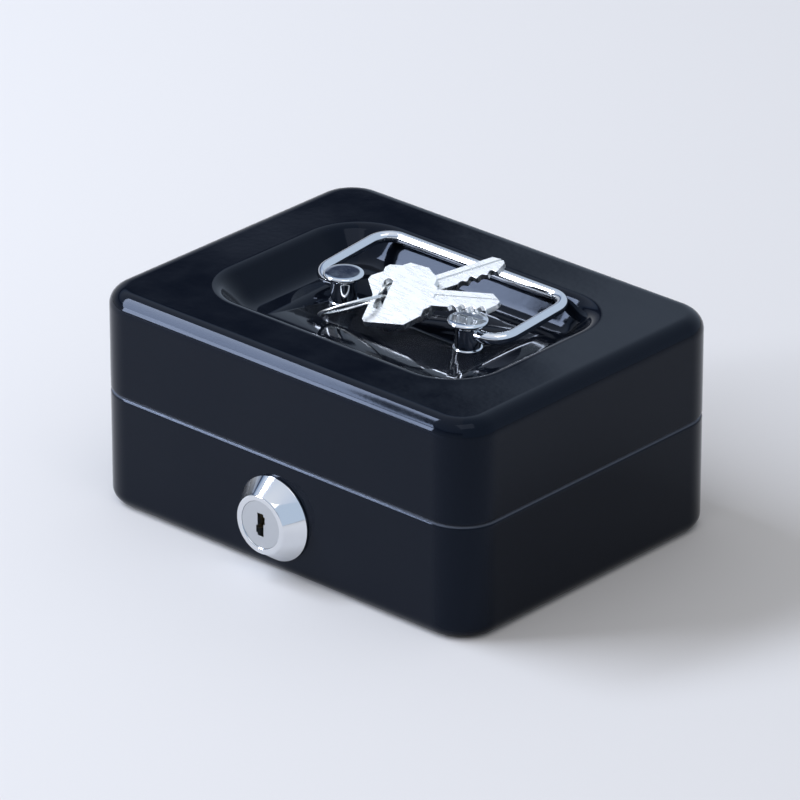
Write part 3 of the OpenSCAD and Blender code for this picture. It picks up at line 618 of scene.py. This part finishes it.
def wire_along(name, path, radius, sides):
    """A round wire along points in one plane, with domed ends."""
    normal = Vector((0, 0, 0))
    for a, b, c in zip(path, path[1:], path[2:]):
        normal += (b - a).cross(c - b)
    normal.normalize()
    ahead = path[1:] + path[-1:]
    behind = path[:1] + path[:-1]
    rings = [(p, (a - b).normalized(), radius) for p, a, b in zip(path, ahead, behind)]
    start, start_along, _ = rings[0]
    end, end_along, _ = rings[-1]
    domes = [(radius * (t ** DOME_POWER) * DOME_DEPTH, radius * math.sqrt(1 - (1 - t) ** 2))
             for t in END_DOME]
    head = [(start + start_along * inset, start_along, r) for inset, r in domes]
    tail = [(end - end_along * inset, end_along, r) for inset, r in reversed(domes)]
    rings = head + rings[1:-1] + tail
    points, faces = [], []
    for point, along, r in rings:
        side = along.cross(normal).normalized()
        for k in range(sides):
            t = 2 * math.pi * k / sides
            points.append(point + side * (r * math.cos(t)) + normal * (r * math.sin(t)))
    for i in range(len(rings) - 1):
        for k in range(sides):
            m = (k + 1) % sides
            faces.append((i * sides + k, i * sides + m, (i + 1) * sides + m, (i + 1) * sides + k))
    faces.append(tuple(range(sides)))
    faces.append(tuple((len(rings) - 1) * sides + k for k in range(sides - 1, -1, -1)))
    mesh = bpy.data.meshes.new(name)
    mesh.from_pydata(points, [], faces)
    return finish_mesh(name, mesh, 50)


def bail_path():
    """The wire's centre line, from the right-hand post round to the left-hand one."""
    bend_x = BAIL_ARM_X - BAIL_BEND_R
    half = [(BAIL_END_X, 0), (BAIL_END_X + BAIL_END_STRAIGHT, 0)]
    half += arc(bend_x, BAIL_BEND_R, BAIL_BEND_R, -90, 0, 14)
    half += arc(bend_x, BAIL_BAR_Y - BAIL_BEND_R, BAIL_BEND_R, 0, 90, 14)
    half += [(bend_x * 0.5, BAIL_BAR_Y), (0, BAIL_BAR_Y)]
    flat = half + [(-x, y) for x, y in reversed(half[:-1])]
    lift = Matrix.Rotation(math.radians(BAIL_LIFT), 3, "X")
    return [(lift @ Vector((x, y, 0)) + Vector((0, 0, PIVOT_Z))) * MM for x, y in flat]


def lathe(name, outline, centre, axis, steps=72, crease=30):
    """Turns an outline of (radius, height) round an axis. The outline starts and ends on the axis."""
    points, faces = [], []
    turn = Vector((0, 0, 1)).rotation_difference(Vector(axis)).to_matrix()
    rows = []
    for r, h in outline:
        if r == 0:
            rows.append([len(points)])
            points.append(turn @ Vector((0, 0, h)))
            continue
        rows.append(list(range(len(points), len(points) + steps)))
        for k in range(steps):
            t = 2 * math.pi * k / steps
            points.append(turn @ Vector((r * math.cos(t), r * math.sin(t), h)))
    for low, high in zip(rows, rows[1:]):
        for k in range(steps):
            m = (k + 1) % steps
            face = [low[k % len(low)], low[m % len(low)], high[m % len(high)], high[k % len(high)]]
            face = list(dict.fromkeys(face))
            if len(face) > 2:
                faces.append(face)
    points = [(p + Vector(centre)) * MM for p in points]
    mesh = bpy.data.meshes.new(name)
    mesh.from_pydata(points, [], faces)
    return finish_mesh(name, mesh, crease)


POST_NECK_R = 3.35
POST_CAP_R = 5.2
POST_H = 8.1
POST_CAP_T = 1.25
POST_FOOT_W, POST_FOOT_H, POST_FOOT_R = 0.5, 0.35, 0.25    # a low step round the post's foot
POST_NECK_LOOPS = (0.65, 0.9)
POST_BORE_L, POST_BORE_PAST = 10.0, 0.3    # the bore runs out of the side and past the wire's end
WASHER_T = 0.8
RIVET_GAP = 0.05                 # between the washer and the shank's riveted end
PEEN_R, PEEN_T, PEEN_FLAT_R, PEEN_EDGE_R = 2.9, 0.6, 2.5, 0.3


def post_outline():
    """A post's half section, from the riveted end of its shank up to its cap."""
    edge = POST_CAP_T / 2
    flat_r = POST_CAP_R - edge
    cap_z = POST_H - POST_CAP_T
    flare = flat_r - POST_NECK_R
    below = -SHEET - WASHER_T - RIVET_GAP
    end = below - PEEN_T
    foot_r = POST_NECK_R + POST_FOOT_W
    outline = [(0, end), (PEEN_FLAT_R, end)]
    outline += arc(PEEN_R - PEEN_EDGE_R, end + PEEN_EDGE_R, PEEN_EDGE_R, -60, 30, 4)
    outline += [(PEEN_R, below), (SHANK_R, below), (SHANK_R, 0), (foot_r, 0), (foot_r, POST_FOOT_H)]
    outline += arc(POST_NECK_R + POST_FOOT_R, POST_FOOT_H, POST_FOOT_R, 0, 90, 4)
    outline += [(POST_NECK_R, z) for z in POST_NECK_LOOPS]
    outline += arc(POST_NECK_R + flare, cap_z - flare, flare, 180, 90, 8)
    outline += arc(flat_r, cap_z + edge, edge, -90, 90, 12)
    crown = [(flat_r * (1 - i / 5), POST_H) for i in range(1, 5)]
    return outline + crown + [(0, POST_H)]


chrome = chrome_plate()
bail = wire_along("bail_wire", bail_path(), BAIL_R * MM, BAIL_SIDES)
bail.data.materials.append(chrome)
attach(bail, "handle")
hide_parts("handle_bail")
for side, word in ((-1, "left"), (1, "right")):
    post = lathe("post_turned_" + word, post_outline(), (side * POST_PITCH / 2, 0, RECESS_Z), (0, 0, 1))
    bore_x = BAIL_END_X - POST_BORE_PAST + POST_BORE_L / 2
    drill(post, (side * bore_x, 0, PIVOT_Z), axis=(1, 0, 0), radius=BAIL_R + BAIL_PLAY, depth=POST_BORE_L)
    post.data.materials.append(chrome)
    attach(post, "lid")
    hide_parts("handle_post_" + word)
dressed("handle_washers", "lid", zinc, 0.12)


# ---------------------------------------------------------------------------
# Lock: a 16 mm cam lock of chromed zinc alloy. A cone bezel stands on the case, a
# U-shaped spring clip holds it from behind, and the plug turns a stamped cam.
# ---------------------------------------------------------------------------
BEZEL_R, BEZEL_FACE_R, BEZEL_H = 11.2, 7.9, 5.7
BARREL_L = 13.0
PLUG_R = 5.7
PLUG_HEAD_R = 6.2
PLUG_SINK = 0.3
PLUG_HEAD_T = 1.0
BEZEL_FOOT_R = 0.25
BEZEL_RIM_R, BEZEL_RIM_Z = 0.35, 0.6
CONE_TOP_R, CONE_TOP_Z = 8.3, 4.7
FACE_EDGE_R, BORE_EDGE_R = 0.5, 0.3
BARREL_CHAMFER = 0.5
TURN_PLAY = 0.05                 # round the plug
CLIP_Z, CLIP_T, CLIP_FLAT = 0.8, 1.3, 7.0
FLAT_CUT_W, FLAT_CUT_H = 10.0, 20.0
THREAD_PITCH = 1.0
THREAD_START, THREAD_FREE = 0.8, 4.0    # where it starts, and how much of the barrel has none
THREAD_TURN = ((0, 0.1), (0.45, 0.45), (0.45, 0.6), (0, 0.95))    # one turn's (depth, height)


def housing_outline():
    """The bezel and barrel's half section, from the barrel's back end out over the bezel's face."""
    face_in = PLUG_HEAD_R + TURN_PLAY
    bore = PLUG_R + TURN_PLAY
    seat = BEZEL_H - PLUG_SINK - PLUG_HEAD_T - TURN_PLAY
    outline = [(bore, -BARREL_L), (BARREL_R - BARREL_CHAMFER, -BARREL_L)]
    outline += [(BARREL_R, BARREL_CHAMFER - BARREL_L)]
    for k in range(int((BARREL_L - THREAD_FREE) / THREAD_PITCH)):
        z = -BARREL_L + THREAD_START + k * THREAD_PITCH
        outline += [(BARREL_R - depth, z + height) for depth, height in THREAD_TURN]
    outline += [(BARREL_R, 0), (BEZEL_R - BEZEL_FOOT_R, 0)]
    outline += arc(BEZEL_R - BEZEL_FOOT_R, BEZEL_FOOT_R, BEZEL_FOOT_R, -90, 0, 4)
    outline += arc(BEZEL_R - BEZEL_RIM_R, BEZEL_RIM_Z, BEZEL_RIM_R, 0, 50, 4)
    outline += [(CONE_TOP_R, CONE_TOP_Z)]
    outline += arc(BEZEL_FACE_R - FACE_EDGE_R, BEZEL_H - FACE_EDGE_R, FACE_EDGE_R, 25, 90, 6)
    outline += [(face_in + BORE_EDGE_R + TURN_PLAY, BEZEL_H)]
    outline += arc(face_in + BORE_EDGE_R, BEZEL_H - BORE_EDGE_R, BORE_EDGE_R, 90, 180, 4)
    outline += [(face_in, seat), (bore, seat), (bore, -BARREL_L)]
    return outline


def flat_sides(piece):
    """Planes the two flats across the barrel that the spring clip slides over."""
    for side in (-1, 1):
        centre_x = side * (CLIP_FLAT + FLAT_CUT_W / 2)
        centre = Vector((centre_x, -BOX_D / 2 + CLIP_Z + CLIP_T / 2, LOCK_Z)) * MM
        size = Vector((FLAT_CUT_W, CLIP_T, FLAT_CUT_H)) * MM
        mesh = bpy.data.meshes.new("flat")
        work = bmesh.new()
        bmesh.ops.create_cube(work, size=1, matrix=Matrix.Translation(centre) @ Matrix.Diagonal((*size, 1)))
        work.to_mesh(mesh)
        work.free()
        cutter = bpy.data.objects.new("flat", mesh)
        bpy.context.scene.collection.objects.link(cutter)
        cut_away(piece, cutter)


housing = lathe("lock_bezel_and_barrel", housing_outline(), (0, -BOX_D / 2, LOCK_Z), (0, -1, 0), steps=96)
flat_sides(housing)
housing.data.materials.append(chrome)
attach(housing, "case")
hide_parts("lock_housing")


RING_STEP, RING_HEIGHT = 0.12, 0.0006


def turned_face_chrome():
    """The plug's face: satin chrome over fine turning marks, rings RING_STEP apart round the lock's axis."""
    material, tree, output = new_material("turned_satin_chrome")
    place = add_node(tree, "ShaderNodeTexCoord").outputs["Object"]
    centred = add_node(tree, "ShaderNodeMapping", Vector=place, Location=(0, 0, -LOCK_Z * MM))
    split = add_node(tree, "ShaderNodeSeparateXYZ", Vector=centred.outputs[0])
    flat = add_node(tree, "ShaderNodeCombineXYZ", X=split.outputs["X"], Y=split.outputs["Z"])
    radius = add_node(tree, "ShaderNodeVectorMath", {"operation": "LENGTH"}, i0=flat.outputs[0])
    phase = add_node(tree, "ShaderNodeMath", {"operation": "MULTIPLY"}, i0=radius.outputs["Value"],
                     i1=2 * math.pi / (RING_STEP * MM))
    rings = add_node(tree, "ShaderNodeMath", {"operation": "SINE"}, i0=phase.outputs[0])
    bump = add_node(tree, "ShaderNodeBump", Strength=1.0, Distance=RING_HEIGHT * MM, Height=rings.outputs[0])
    shader = add_node(tree, "ShaderNodeBsdfPrincipled", Base_Color=linear("#C9CDD2"), Metallic=1.0,
                      Roughness=0.22, Normal=bump.outputs["Normal"])
    tree.links.new(shader.outputs[0], output.inputs["Surface"])
    return material


satin_chrome = turned_face_chrome()
dressed("lock_plug", "lock", satin_chrome, 0.07)
dressed("lock_clip", "case", zinc, 0.12)
dressed("lock_cam", "lock", zinc, 0.15)
dressed("cam_washer", "lock", zinc, 0.08)
dressed("cam_screw", "lock", zinc, 0.12)


# ---------------------------------------------------------------------------
# Wafers and springs: four stamped brass plates slide in the plug, each pushed out by a
# coiled spring of drawn steel wire in a pocket beside it. The key draws them in.
# ---------------------------------------------------------------------------
WAFER_COUNT = 4
BRASS_TONE = 0.8
SPRING_WIRE_R = 0.18
SPRING_TURNS = 6.5
SPRING_TONE = 0.3
POINTS_A_TURN, WIRE_SIDES = 28, 12


def wafer_brass():
    """Stamped brass: a warm yellow whose tone drifts a little where the strip was rolled."""
    material, tree, output = new_material("stamped_brass")
    place = add_node(tree, "ShaderNodeTexCoord").outputs["Object"]
    tone = add_node(tree, "ShaderNodeTexNoise", Vector=place, Scale=1 / (BRASS_TONE * MM), Detail=3.0)
    ramp = add_node(tree, "ShaderNodeValToRGB", Fac=tone.outputs["Fac"])
    dull, bright = ramp.color_ramp.elements
    dull.color = linear("#A5803A")
    bright.color = linear("#D8B465")
    shader = add_node(tree, "ShaderNodeBsdfPrincipled", Base_Color=ramp.outputs["Color"], Metallic=1.0,
                      Roughness=0.3)
    tree.links.new(shader.outputs[0], output.inputs["Surface"])
    return material


def spring_wire():
    """Drawn spring steel: grey, with a dull polish along the wire."""
    material, tree, output = new_material("drawn_spring_steel")
    place = add_node(tree, "ShaderNodeTexCoord").outputs["Object"]
    tone = add_node(tree, "ShaderNodeTexNoise", Vector=place, Scale=1 / (SPRING_TONE * MM), Detail=2.0)
    rough = add_node(tree, "ShaderNodeMapRange", Value=tone.outputs["Fac"], To_Min=0.25, To_Max=0.45)
    shader = add_node(tree, "ShaderNodeBsdfPrincipled", Base_Color=linear("#8E9299"), Metallic=1.0,
                      Roughness=rough.outputs["Result"])
    tree.links.new(shader.outputs[0], output.inputs["Surface"])
    return material


def spring_row_tree(material):
    """A node tree that winds one compression spring upwards and repeats it along a row."""
    tree = bpy.data.node_groups.new("spring_row", "GeometryNodeTree")
    kinds = {"Coil Radius": "Float", "Wire Radius": "Float", "Height": "Float", "Turns": "Float",
             "First": "Vector", "Step": "Vector", "Count": "Int"}
    for label, kind in kinds.items():
        tree.interface.new_socket(label, in_out="INPUT", socket_type="NodeSocket" + kind)
    tree.interface.new_socket("Geometry", in_out="OUTPUT", socket_type="NodeSocketGeometry")
    given = tree.nodes.new("NodeGroupInput").outputs
    helix = add_node(tree, "GeometryNodeCurveSpiral", Resolution=POINTS_A_TURN, Rotations=given["Turns"],
                     Start_Radius=given["Coil Radius"], End_Radius=given["Coil Radius"],
                     Height=given["Height"])
    wire = add_node(tree, "GeometryNodeCurvePrimitiveCircle", Resolution=WIRE_SIDES,
                    Radius=given["Wire Radius"])
    spring = add_node(tree, "GeometryNodeCurveToMesh", Curve=helix.outputs[0], Profile_Curve=wire.outputs[0],
                      Fill_Caps=True)
    row = add_node(tree, "GeometryNodeMeshLine", Count=given["Count"], Start_Location=given["First"],
                   Offset=given["Step"])
    springs = add_node(tree, "GeometryNodeInstanceOnPoints", Points=row.outputs[0],
                       Instance=spring.outputs[0])
    solid = add_node(tree, "GeometryNodeRealizeInstances", Geometry=springs.outputs[0])
    finished = add_node(tree, "GeometryNodeSetMaterial", Geometry=solid.outputs[0], Material=material)
    output = tree.nodes.new("NodeGroupOutput")
    tree.links.new(finished.outputs[0], output.inputs[0])
    return tree


def wind_springs(low, high, material):
    """The wafers' springs, one behind the other in the box that their pockets leave."""
    coil_r = (high.x - low.x) / 2
    centre_x = (low.x + high.x) / 2
    step = (high.y - low.y - 2 * coil_r) / (WAFER_COUNT - 1)
    piece = bpy.data.objects.new("wafer_springs_wound", bpy.data.meshes.new("wafer_springs_wound"))
    bpy.context.scene.collection.objects.link(piece)
    winding = piece.modifiers.new("winding", "NODES")
    winding.node_group = spring_row_tree(material)
    sizes = {"Coil Radius": coil_r - SPRING_WIRE_R * MM, "Wire Radius": SPRING_WIRE_R * MM,
             "Height": high.z - low.z - 2 * SPRING_WIRE_R * MM, "Turns": SPRING_TURNS,
             "First": (centre_x, low.y + coil_r, low.z + SPRING_WIRE_R * MM), "Step": (0, step, 0),
             "Count": WAFER_COUNT}
    for item in winding.node_group.interface.items_tree:
        if item.in_out == "INPUT":
            winding[item.identifier] = sizes[item.name]
    graph = bpy.context.evaluated_depsgraph_get()
    mesh = bpy.data.meshes.new_from_object(piece.evaluated_get(graph))
    piece.modifiers.clear()
    piece.data = mesh
    mesh.materials.pop(index=0)      # the empty slot in front of the one that the tree set
    for face in mesh.polygons:
        face.use_smooth = True
    return piece


dressed("lock_wafers", "lock", wafer_brass(), 0.05)
springs = wind_springs(*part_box("wafer_springs"), spring_wire())
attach(springs, "lock")
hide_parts("wafer_springs")


# ---------------------------------------------------------------------------
# Catch and rests: the catch hangs from the lid's front wall and takes the cam over its
# foot; two angles on the side walls carry the tray. Bent from strip and spot-welded.
# ---------------------------------------------------------------------------
dressed("lid_catch", "lid", zinc, 0.15)
for side in ("left", "right"):
    dressed("tray_rest_" + side, "case", powder_coat, 0.15)


# ---------------------------------------------------------------------------
# Coin tray: injection-moulded ABS in black with five cups and a finger grip. The mould's
# spark-eroded texture leaves it matt, with soft sheen on the rounded rim.
# ---------------------------------------------------------------------------
ABS_GRAIN, ABS_GRAIN_HEIGHT = 0.45, 0.03
ABS_RUB = 14.0


def textured_black_abs():
    """Black ABS with a fine moulded texture, rubbed a little smoother in patches by coins and hands."""
    material, tree, output = new_material("textured_black_abs")
    place = add_node(tree, "ShaderNodeTexCoord").outputs["Object"]
    grain = add_node(tree, "ShaderNodeTexNoise", Vector=place, Scale=1 / (ABS_GRAIN * MM), Detail=3.0,
                     Roughness=0.6)
    bump = add_node(tree, "ShaderNodeBump", Strength=0.6, Distance=ABS_GRAIN_HEIGHT * MM,
                    Height=grain.outputs["Fac"])
    rub = add_node(tree, "ShaderNodeTexNoise", Vector=place, Scale=1 / (ABS_RUB * MM), Detail=4.0)
    rough = add_node(tree, "ShaderNodeMapRange", Value=rub.outputs["Fac"], From_Min=0.35, From_Max=0.7,
                     To_Min=0.42, To_Max=0.58)
    shader = add_node(tree, "ShaderNodeBsdfPrincipled", Base_Color=linear("#1B1C1F"), IOR=1.53,
                      Roughness=rough.outputs["Result"], Normal=bump.outputs["Normal"])
    tree.links.new(shader.outputs[0], output.inputs["Surface"])
    return material


dressed("coin_tray", "tray", textured_black_abs(), 0.5, segments=3)


# ---------------------------------------------------------------------------
# Keys: two keys blanked from nickel-plated steel, with a milled groove along each side of
# the blade, on a ring of nickel-plated wire. They lie where they were put down on the lid.
# ---------------------------------------------------------------------------
HAIRLINE_L = 4.0
HAIRLINE_THIN = 9                # a hairline is so many times finer than it is long
HAIRLINE_TURN = (0.4, 0.1, 0.34)  # radians, along the top key's blade


def nickel_plate():
    """Bright nickel over a linished blank: warmer and softer than chrome, with hairlines from use."""
    material, tree, output = new_material("bright_nickel_plate")
    place = add_node(tree, "ShaderNodeTexCoord").outputs["Object"]
    along = add_node(tree, "ShaderNodeMapping", Vector=place, Rotation=HAIRLINE_TURN,
                     Scale=(1, HAIRLINE_THIN, 1))
    lines = add_node(tree, "ShaderNodeTexNoise", Vector=along.outputs[0], Scale=1 / (HAIRLINE_L * MM),
                     Detail=3.0)
    rough = add_node(tree, "ShaderNodeMapRange", Value=lines.outputs["Fac"], From_Min=0.3, From_Max=0.7,
                     To_Min=0.24, To_Max=0.34)
    shader = add_node(tree, "ShaderNodeBsdfPrincipled", Base_Color=linear("#F0F1F0"), Metallic=1.0,
                      Roughness=rough.outputs["Result"])
    tree.links.new(shader.outputs[0], output.inputs["Surface"])
    return material


nickel = nickel_plate()
for node in ("key_1", "key_2"):
    dressed(node, "keys", nickel, 0.18, segments=3)
dressed("key_ring", "keys", nickel, 0)
